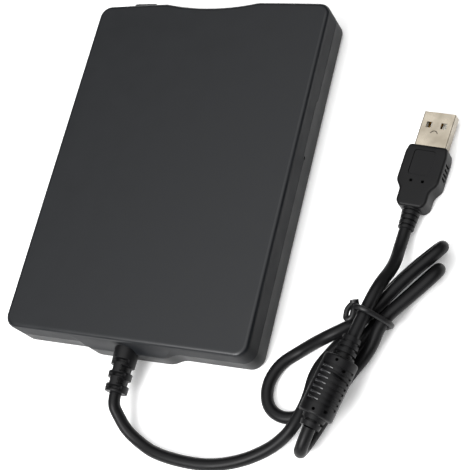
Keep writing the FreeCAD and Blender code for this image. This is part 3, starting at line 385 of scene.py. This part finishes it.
def as_piece(name, mesh, material, body):
    """Object made from a bmesh that is already in its place, riding on a body, with its faces
    turned outwards and its edges smooth up to the crease."""
    bmesh.ops.recalc_face_normals(mesh, faces=mesh.faces)
    for edge in mesh.edges:
        edge.smooth = edge.calc_face_angle(0) < crease
    data = bpy.data.meshes.new(name)
    mesh.to_mesh(data)
    mesh.free()
    for face in data.polygons:
        face.use_smooth = True
    data.materials.append(material)
    piece = bpy.data.objects.new(name, data)
    bpy.context.scene.collection.objects.link(piece)
    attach(piece, body)
    return piece


def bent_bar(mesh, centre, axis, start_way, reach, radius, span, steps):
    """Adds a round bar, with closed ends, bent about an axis at that reach from it."""
    side = axis.cross(start_way).normalized()
    bar_turn = Matrix((start_way, axis, side)).transposed().to_4x4()
    bar_start = Matrix.Translation(centre + start_way * reach) @ bar_turn
    ring = bmesh.ops.create_circle(mesh, cap_ends=True, segments=bar_facets, radius=radius,
                                   matrix=bar_start)
    faces = {face for corner in ring["verts"] for face in corner.link_faces}
    edges = {edge for corner in ring["verts"] for edge in corner.link_edges}
    bmesh.ops.spin(mesh, geom=ring["verts"] + list(edges) + list(faces), cent=centre, axis=axis,
                   angle=span, steps=steps)


# The ribs' material carries the painted highlight in its lighter greys.
polished_rib_painted_highlight = moulded_plastic("handled_pvc_rib_painted_highlight", rib_highlight_grey, rib_highlight_bright, roughness=0.24, grain=0.6,
                               depth=0.02, ior=pvc_ior)
ribs = bmesh.new()
bundle_across = Vector((math.cos(bundle_turn), -math.sin(bundle_turn), 0))
rib_start = (up * math.cos(rib_from) + bundle_across * math.sin(rib_from)).normalized()
for index in range(rib_count):
    along = rib_first + index * rib_pitch
    centre = (ferrite_start + ferrite_way * along + drive_offset) * millimetre
    bent_bar(ribs, centre, ferrite_way, rib_start, (ferrite_radius - rib_sink) * millimetre,
             rib_radius * millimetre, rib_span, rib_steps)
ferrite_ribs = as_piece("ferrite_ribs", ribs, polished_rib_painted_highlight, "case")


# The strain relief at the case is a soft sleeve, cut from the sides and from above and
# below in turn. What is left bends in short rounded lumps, which taper to the tip.
relief_start = 69.6
relief_flange_end = 71.0
relief_tip = 88.4
relief_flange_radius = 6.0
relief_root_radius = 4.75
relief_tip_radius = 4.2
relief_tip_round = 0.4
relief_tip_round_length = 0.5
relief_bore = 2.0
relief_core = 2.95
relief_slot_edge = 0.35
relief_slot_end = 0.12
relief_side_half = 1.05
relief_side_reach = 0.42
relief_side_slots = (79.5, 84.3)
relief_level_half = 0.6
relief_level_reach = 0.66
relief_level_slots = (76.7, 81.9, 86.7)
relief_around = 72
relief_along = 150
weld = 0.002


def slot_depth(y, middles, half, facing, reach):
    """How deep a slot is cut, from 0 to 1, at the place y along the relief, where the surface
    faces the slot by that much."""
    inside = max(half - abs(y - middle) for middle in middles)
    along = min(1.0, max(0.0, inside / relief_slot_edge + 0.5))
    around = min(1.0, max(0.0, (abs(facing) - reach) / relief_slot_end + 0.5))
    return along * along * (3 - 2 * along) * around


relief = bmesh.new()
bmesh.ops.create_grid(relief, x_segments=relief_around, y_segments=relief_along, size=1.0)
for vert in relief.verts:
    turn = math.pi * (vert.co.x + 1)
    share = (vert.co.y + 1) / 2
    y = relief_start + (relief_tip - relief_start) * share
    if round(share * relief_along) in (0, relief_along):
        radius = relief_bore
    elif y < relief_flange_end:
        radius = relief_flange_radius
    else:
        outer = relief_root_radius + (relief_tip_radius - relief_root_radius) * share
        cut = max(
            slot_depth(y, relief_side_slots, relief_side_half, math.cos(turn), relief_side_reach),
            slot_depth(y, relief_level_slots, relief_level_half, math.sin(turn), relief_level_reach))
        radius = outer - (outer - relief_core) * cut
        radius -= relief_tip_round * max(0.0, 1 - (relief_tip - y) / relief_tip_round_length) ** 2
    vert.co = Vector((radius * math.cos(turn), y + drive_shift,
                      seam_height + radius * math.sin(turn))) * millimetre
bmesh.ops.remove_doubles(relief, verts=relief.verts, dist=weld * millimetre)
bmesh.ops.holes_fill(relief, edges=[edge for edge in relief.edges if edge.is_boundary], sides=0)
slotted_relief = as_piece("slotted_relief", relief, boot_pvc, "case")
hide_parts("strain_relief")


# The plug's overmould is one flat body whose head narrows by chamfers to a wide neck, with
# a bare sunk panel, two pits left by the mould's pins, side grips and a ringed cuff.
overmould_half = 7.9
overmould_plan = (
    (7.2, 31.5), (overmould_half, 28.4), (overmould_half, 17.0), (5.7, 13.9), (5.7, 9.2), (4.3, 7.5),
)
overmould_rise = 4.0
overmould_round = 1.3
overmould_segments = 5
panel_middle = (-0.3, 24.4)
panel_half = (4.0, 4.9)
panel_corner = 1.0
panel_wall = 0.15
panel_depth = 0.3
pin_pit_middle = (2.2, 17.2)
pin_pit_radius = 0.55
pin_pit_corner = 0.319
pin_pit_wall = 0.03
pin_pit_depth = 1.8
grip_count = 4
grip_start = 20.6
grip_pitch = 1.7
grip_half = (0.45, 1.9)
grip_corner = 0.25
grip_wall = 0.1
grip_depth = 0.6
cuff_bore = 2.0
cuff_foot = 2.9
cuff_foot_round = 0.2
cuff_top = 3.45
cuff_length = 8.4
cuff_facets = 40
groove_count = 4
groove_start = 0.9
groove_pitch = 1.85
groove_depth = 0.65
groove_width = 0.75
groove_edge = 0.1
groove_wall = 0.15
pit_segments = 4
flatness = 0.9999
same_plane = 0.05
cut_margin = 0.001


def level_faces(mesh, facing):
    """Flat faces of a mesh that look that way."""
    return [face for face in mesh.faces if face.normal.dot(facing) > flatness]


def pit(mesh, facing, middle, half, corner, wall, depth):
    """Cuts a pit with rounded corners into the flat face that looks that way, with its
    middle and its sizes in millimetres."""
    middle = Vector(middle) * millimetre

    def distance(face):
        return face.calc_center_median() - middle

    def nearest():
        mesh.normal_update()
        return min(level_faces(mesh, facing), key=lambda face: distance(face).length)

    axes = [axis for axis in (Vector((1, 0, 0)), Vector((0, 1, 0)), up) if abs(axis.dot(facing)) < 0.5]
    for axis, reach in zip(axes, half):
        for sign in (-1, 1):
            flat = [face for face in level_faces(mesh, facing)
                    if abs(distance(face).dot(facing)) < same_plane * millimetre]
            edges = {edge for face in flat for edge in face.edges}
            corners = {vert for face in flat for vert in face.verts}
            bmesh.ops.bisect_plane(mesh, geom=flat + list(edges) + list(corners),
                                   dist=cut_margin * millimetre, plane_no=axis,
                                   plane_co=middle + axis * reach * millimetre * sign)
    bmesh.ops.bevel(mesh, geom=list(nearest().verts), offset=corner * millimetre, offset_type="OFFSET",
                    segments=pit_segments, profile=0.5, affect="VERTICES", clamp_overlap=True,
                    material=-1)
    bmesh.ops.inset_region(mesh, faces=[nearest()], thickness=wall * millimetre,
                           depth=-depth * millimetre, use_even_offset=True)
    mesh.normal_update()


overmould = bmesh.new()
plan = list(overmould_plan) + [(-x, y) for x, y in reversed(overmould_plan)]
rim = [overmould.verts.new(Vector((x, y, -overmould_rise)) * millimetre) for x, y in plan]
base = bmesh.ops.contextual_create(overmould, geom=rim)["faces"]
raised = bmesh.ops.extrude_face_region(overmould, geom=base, use_keep_orig=True)["geom"]
bmesh.ops.translate(overmould, verts=[part for part in raised if isinstance(part, bmesh.types.BMVert)],
                    vec=Vector((0, 0, 2 * overmould_rise * millimetre)))
bmesh.ops.recalc_face_normals(overmould, faces=overmould.faces)
bmesh.ops.bevel(overmould, geom=overmould.edges[:], offset=overmould_round * millimetre,
                offset_type="OFFSET", segments=overmould_segments, profile=0.5, affect="EDGES",
                clamp_overlap=True, material=-1)
overmould.normal_update()
pit(overmould, up, (*panel_middle, overmould_rise), panel_half, panel_corner, panel_wall, panel_depth)
for sign in (-1, 1):
    pit(overmould, up, (sign * pin_pit_middle[0], pin_pit_middle[1], overmould_rise),
        (pin_pit_radius, pin_pit_radius), pin_pit_corner, pin_pit_wall, pin_pit_depth)
for index in range(grip_count):
    for sign in (-1, 1):
        pit(overmould, Vector((sign, 0, 0)), (sign * overmould_half, grip_start + index * grip_pitch, 0),
            grip_half, grip_corner, grip_wall, grip_depth)

cuff_profile = [(cuff_bore, 0.0), (cuff_foot - cuff_foot_round, 0.0), (cuff_foot, cuff_foot_round)]
for index in range(groove_count):
    low = groove_start + index * groove_pitch
    high = low + groove_width
    radius = cuff_foot + (cuff_top - cuff_foot) * low / cuff_length
    core = radius - groove_depth
    cuff_profile += [
        (radius, low), (radius - groove_edge, low + groove_edge), (core, low + groove_wall),
        (core, high - groove_wall), (radius - groove_edge, high - groove_edge), (radius, high),
    ]
cuff_profile += [(cuff_top, cuff_length), (cuff_bore, cuff_length)]
turned = [overmould.verts.new(Vector((radius, y, 0)) * millimetre) for radius, y in cuff_profile]
turned_edges = [overmould.edges.new(turned[index:index + 2]) for index in range(len(turned) - 1)]
turned_edges.append(overmould.edges.new((turned[-1], turned[0])))
bmesh.ops.spin(overmould, geom=turned + turned_edges, cent=Vector((0, 0, 0)), axis=Vector((0, 1, 0)),
               angle=2 * math.pi, steps=cuff_facets, use_merge=True)
plug_move = Matrix.Translation((plug_end + drive_offset) * millimetre)
bmesh.ops.transform(overmould, verts=overmould.verts[:],
                    matrix=plug_move @ Matrix.Rotation(math.pi - plug_turn, 4, "Z"))
plug_overmould = as_piece("plug_overmould", overmould, boot_pvc, "case")
even_normals = plug_overmould.modifiers.new("even_normals", "WEIGHTED_NORMAL")
even_normals.keep_sharp = True
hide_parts("plug_body")


# The tie is soft wire in a thick vinyl coat, bent round the hank and twisted. The coat is as
# dull as the cord but catches a little more light, so its bends show against the strands.
tie_black = "#0f0f10"
tie_drift = "#141415"
tie_shine = 0.3
tie_coat = 0.32
tie_weld = 0.02

tie_vinyl = moulded_plastic("vinyl_coated_tie", tie_black, tie_drift, roughness=0.42, grain=1.2,
                            depth=0.03, ior=pvc_ior, shine=tie_shine)
coated = bmesh.new()
coated.from_mesh(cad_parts["twist_tie"].data)
bmesh.ops.remove_doubles(coated, verts=coated.verts, dist=tie_weld * millimetre)
coated.normal_update()
for corner in coated.verts:
    corner.co += corner.normal * tie_coat * millimetre
coated_tie = as_piece("coated_tie", coated, tie_vinyl, "case")
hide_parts("twist_tie")


# The plug's shell is folded from nickel-plated steel. The strip was rolled, so faint lines
# run along it, and the plating has a warm, slightly cloudy shine.
nickel = "#a79f91"
nickel_cloud = "#948c7e"
rolling_stretch = (3.0, 0.15, 3.0)
no_stretch = (1.0, 1.0, 1.0)
cloud_size = 5.0
polish = 0.06
tarnish = 0.08
line_strength = 0.4


def drawn_metal(name, colour, cloud, roughness, line, depth, stretch):
    """Metal with lines along one way, from rolling, drawing or turning, or an even grain
    where the stretch is the same all ways."""
    material, tree, place = blank_material(name)
    drift, gloss = speckle(tree, place, size=cloud_size, detail=2.0, low=roughness - polish,
                           high=roughness + tarnish)
    along = add(tree, "ShaderNodeMapping", {"Scale": stretch}, {"Vector": place})
    lines = add(tree, "ShaderNodeTexNoise", {"Scale": per_metre(line), "Detail": 3.0},
                {"Vector": along.outputs["Vector"]})
    surfaced(tree, {"Metallic": 1.0}, {
        "Base Color": two_tone(tree, drift, colour, cloud),
        "Roughness": gloss,
        "Normal": bumped(tree, lines.outputs["Fac"], depth, line_strength),
    })
    return material


nickel_steel = drawn_metal("nickel_plated_steel", nickel, nickel_cloud, roughness=0.28, line=1.0,
                           depth=0.01, stretch=rolling_stretch)
finish(nickel_steel, "plug_shell")


# The shell's sheet is locked by a small curved crimp, pressed in near the plug's body. It is the
# same steel as the sheet, drawn as a thin bar with painted shade: its darker grey stands in for the
# shadow in the pressed groove, so it reads as a curved line.
crimp_place = 36.6
crimp_reach = 1.3
crimp_wire = 0.16
crimp_span = math.radians(150)
crimp_steps = 12
shell_half_height = 2.25
# These two greys are painted shade, darker than the nickel sheet.
crimp_painted_shade_grey = "#5d574e"
crimp_painted_shade_dark = "#4b463f"

crimp_painted_shade_steel = drawn_metal("crimp_nickel_steel_painted_shade", crimp_painted_shade_grey, crimp_painted_shade_dark, roughness=0.35, line=0.6,
                            depth=0.01, stretch=no_stretch)
crimp = bmesh.new()
crimp_centre = plug_end + plug_way * crimp_place + up * shell_half_height + drive_offset
crimp_start = Matrix.Rotation(-crimp_span / 2, 3, "Z") @ plug_way
bent_bar(crimp, crimp_centre * millimetre, up, crimp_start, crimp_reach * millimetre,
         crimp_wire * millimetre, crimp_span, crimp_steps)
shell_crimp = as_piece("shell_crimp", crimp, crimp_painted_shade_steel, "case")


# Inside the shell a moulded white nylon tongue holds four contacts, stamped from brass and
# flashed with gold. The drive's own connectors have bodies of the same nylon.
nylon_white = "#e4e2da"
nylon_shade = "#d6d3c8"
gold = "#d8a860"
gold_cloud = "#c79a52"

tongue_nylon = moulded_plastic("moulded_white_nylon", nylon_white, nylon_shade, roughness=0.45,
                               grain=0.6, depth=0.01, ior=1.53)
finish(tongue_nylon, "plug_tongue", "connectors")
contact_gold = drawn_metal("gold_flashed_brass", gold, gold_cloud, roughness=0.25, line=1.0,
                           depth=0.005, stretch=rolling_stretch)
finish(contact_gold, "plug_contacts")


# The chassis, the diskette carrier, the slide and the motor's bracket are pressed from
# galvanised sheet. The zinc froze in flat crystals, each with its own shade of grey.
zinc_light = "#b9bdbf"
zinc_dark = "#969b9e"
spangle = 5.0

galvanised, tree, place = blank_material("galvanised_sheet")
crystals = add(tree, "ShaderNodeTexVoronoi", {"Scale": per_metre(spangle)}, {"Vector": place})
shade = add(tree, "ShaderNodeSeparateColor", None, {"Color": crystals.outputs["Color"]})
gloss = add(tree, "ShaderNodeMapRange", {"To Min": 0.3, "To Max": 0.5}, {"Value": shade.outputs["Green"]})
surfaced(tree, {"Metallic": 1.0}, {
    "Base Color": two_tone(tree, shade.outputs["Red"], zinc_light, zinc_dark),
    "Roughness": gloss.outputs["Result"],
})
finish(galvanised, "chassis_tray", "disk_carrier", "slide_plate", "stepper_bracket", "stepper_motor",
       "spindle_rotor")


# The shaft, the guide rod, the lead screw, the eject spring, the pin and the screws are
# drawn or turned bright steel, with fine lines round them from the tool.
steel = "#b4b3af"
steel_cloud = "#a09f9b"
turning_stretch = (0.3, 4.0, 0.3)

bright_steel = drawn_metal("turned_bright_steel", steel, steel_cloud, roughness=0.22, line=1.0,
                           depth=0.01, stretch=turning_stretch)
finish(bright_steel, "spindle_shaft", "guide_rod", "lead_screw", "eject_spring", "drive_pin",
       "case_screws", "chassis_screws")


# The spindle turns in a plain bush of sintered bronze. Its pores hold the oil, and make it
# duller and darker than solid bronze.
bronze = "#9a7243"
bronze_pore = "#7d5a33"

bush_bronze = drawn_metal("sintered_bronze", bronze, bronze_pore, roughness=0.45, line=0.3, depth=0.02,
                          stretch=no_stretch)
finish(bush_bronze, "spindle_bearing")


# The motor's core is stacked from lacquered iron sheets, and each arm carries a coil of
# fine enamelled copper wire laid in even turns.
iron = "#6c6a68"
iron_lacquer = "#55524f"
copper = "#b06a3a"
sheet_stretch = (1.0, 1.0, 6.0)
wire_wave = 0.5
wave_radians = 20.0
spindle_from_origin = 18.3


def wave_scale(reach):
    """Wave texture's scale that gives one radian of wave over that reach, in millimetres."""
    return per_metre(reach) / wave_radians


core_iron = drawn_metal("lacquered_core_iron", iron, iron_lacquer, roughness=0.5, line=0.8, depth=0.01,
                        stretch=sheet_stretch)
finish(core_iron, "stator_core")
coil_copper, tree, place = blank_material("enamelled_copper_wire")
from_spindle = add(tree, "ShaderNodeMapping", {"Location": (0.0, spindle_from_origin * millimetre, 0.0)},
                   {"Vector": place})
turns = add(tree, "ShaderNodeTexWave", {"Scale": wave_scale(wire_wave), "Distortion": 0.4},
            {"Vector": from_spindle.outputs["Vector"]}, wave_type="RINGS", rings_direction="Z")
surfaced(tree, {"Metallic": 1.0, "Base Color": linear(copper), "Roughness": 0.3},
         {"Normal": bumped(tree, turns.outputs["Fac"], depth=0.15, strength=0.8)})
finish(coil_copper, "stator_coils")


# The rotor's ring magnet is ferrite powder in a binder, and the two heads are polished
# dark ceramic. Both are black; the heads shine.
magnet_black = "#2b2a2b"
magnet_grain = "#353334"
ceramic_black = "#232427"
ceramic_drift = "#2c2d31"

ring_ferrite = moulded_plastic("bonded_ferrite", magnet_black, magnet_grain, roughness=0.6, grain=0.3,
                               depth=0.03, ior=1.6)
finish(ring_ferrite, "rotor_magnet")
head_ceramic = moulded_plastic("polished_ceramic_head", ceramic_black, ceramic_drift, roughness=0.15,
                               grain=1.0, depth=0.002, ior=1.7)
finish(head_ceramic, "lower_head", "upper_head")


# The head carriage, its arm, the rod's clamps and the shutter's lever are moulded in
# white acetal, which slides without oil and has a waxy sheen.
acetal_white = "#dddbd3"
acetal_shade = "#cfccc2"

acetal = moulded_plastic("moulded_acetal", acetal_white, acetal_shade, roughness=0.35, grain=0.8,
                         depth=0.01, ior=1.48)
finish(acetal, "head_carriage", "upper_head_arm", "rod_clamps", "shutter_lever")


# The boards are glass-fibre laminate under green solder mask. Copper tracks under the
# mask show as a pattern of lighter runs.
mask_green = "#1f5a3a"
track_green = "#2f7a4c"
track_pitch = 2.4
bricks_per_unit = 2.0
track_share = 0.06

masked_board, tree, place = blank_material("solder_masked_laminate")
tracks = add(tree, "ShaderNodeTexBrick", {
    "Scale": per_metre(track_pitch) / bricks_per_unit, "Mortar Size": track_share,
    "Color1": linear(mask_green), "Color2": linear(mask_green), "Mortar": linear(track_green),
}, {"Vector": place})
gloss = speckle(tree, place, size=4.0, detail=2.0, low=0.28, high=0.4)[1]
surfaced(tree, {"IOR": 1.55}, {
    "Base Color": tracks.outputs["Color"],
    "Roughness": gloss,
    "Normal": bumped(tree, tracks.outputs["Fac"], depth=0.03, strength=0.5),
})
finish(masked_board, "motor_board", "main_board", "usb_board")


# The chips, the adapter board's parts and the sense switches have black bodies, moulded in
# epoxy with a matt, faintly grained top.
epoxy_black = "#252629"
epoxy_drift = "#2d2e31"

chip_epoxy = moulded_plastic("moulded_chip_epoxy", epoxy_black, epoxy_drift, roughness=0.55, grain=0.25,
                             depth=0.01, ior=1.55)
finish(chip_epoxy, "board_components", "usb_board_parts", "sense_switches")


# The flat cable takes the signals from board to board. It is white polyester film over
# tinned strips, which show through as grey lines.
film_white = "#dfe0dd"
strip_grey = "#a9acad"
strip_wave = 1.0

flat_film, tree, place = blank_material("polyester_flat_cable")
strips = add(tree, "ShaderNodeTexWave", {"Scale": wave_scale(strip_wave)}, {"Vector": place},
             wave_type="BANDS", bands_direction="X")
gloss = speckle(tree, place, size=3.0, detail=1.0, low=0.25, high=0.4)[1]
surfaced(tree, {"IOR": 1.57}, {
    "Base Color": two_tone(tree, strips.outputs["Fac"], film_white, strip_grey),
    "Roughness": gloss,
})
finish(flat_film, "flat_cable")


# The drive was set down on a plain white sweep, lit by a soft box overhead, a smaller one
# behind it and the bright ceiling of a white room, so its shadow is small and soft.
paper_white = "#fbfbfb"
room_white = "#ffffff"
sweep_size = 6.0
sweep_glow = 0.2
ceiling_start = 0.6
wall_glow = 0.03
ceiling_glow = 2.75
overhead_place = (0.25, 0.75, 0.9)
overhead_aim = (0.0, 0.0, 0.0)
rear_place = (0.1, 0.5, 0.45)
rear_aim = (0.03, 0.13, 0.0)

sweep_mesh = bmesh.new()
bmesh.ops.create_grid(sweep_mesh, x_segments=1, y_segments=1, size=sweep_size / 2)
sweep_data = bpy.data.meshes.new("paper_sweep")
sweep_mesh.to_mesh(sweep_data)
sweep_mesh.free()
paper, tree, place = blank_material("white_paper_sweep")
surfaced(tree, {"Base Color": linear(paper_white), "Roughness": 0.9, "Specular IOR Level": 0.0,
                "Emission Color": linear(room_white), "Emission Strength": sweep_glow}, {})
sweep_data.materials.append(paper)
sweep = bpy.data.objects.new("paper_sweep", sweep_data)
bpy.context.scene.collection.objects.link(sweep)

room = bpy.data.worlds.new("studio_room")
room.use_nodes = True
room_tree = room.node_tree
room_tree.nodes.clear()
sight = add(room_tree, "ShaderNodeTexCoord")
height = add(room_tree, "ShaderNodeSeparateXYZ", None, {"Vector": sight.outputs["Generated"]})
glow = add(room_tree, "ShaderNodeMapRange", {
    "From Min": ceiling_start, "From Max": 1.0, "To Min": wall_glow, "To Max": ceiling_glow,
}, {"Value": height.outputs["Z"]}, interpolation_type="SMOOTHSTEP")
backdrop = add(room_tree, "ShaderNodeBackground", {"Color": linear(room_white)},
               {"Strength": glow.outputs["Result"]})
add(room_tree, "ShaderNodeOutputWorld", None, {"Surface": backdrop.outputs["Background"]})
bpy.context.scene.world = room
bpy.context.scene.view_settings.view_transform = "Standard"


def soft_box(name, place, target, size, power):
    """Square soft box that faces a point."""
    data = bpy.data.lights.new(name, "AREA")
    data.shape = "SQUARE"
    data.size = size
    data.energy = power
    light = bpy.data.objects.new(name, data)
    way = Vector(target) - Vector(place)
    light.matrix_world = Matrix.Translation(place) @ way.to_track_quat("-Z", "Y").to_matrix().to_4x4()
    bpy.context.scene.collection.objects.link(light)


soft_box("overhead_box", overhead_place, overhead_aim, size=0.6, power=4.5)
soft_box("rear_box", rear_place, rear_aim, size=0.3, power=4.0)
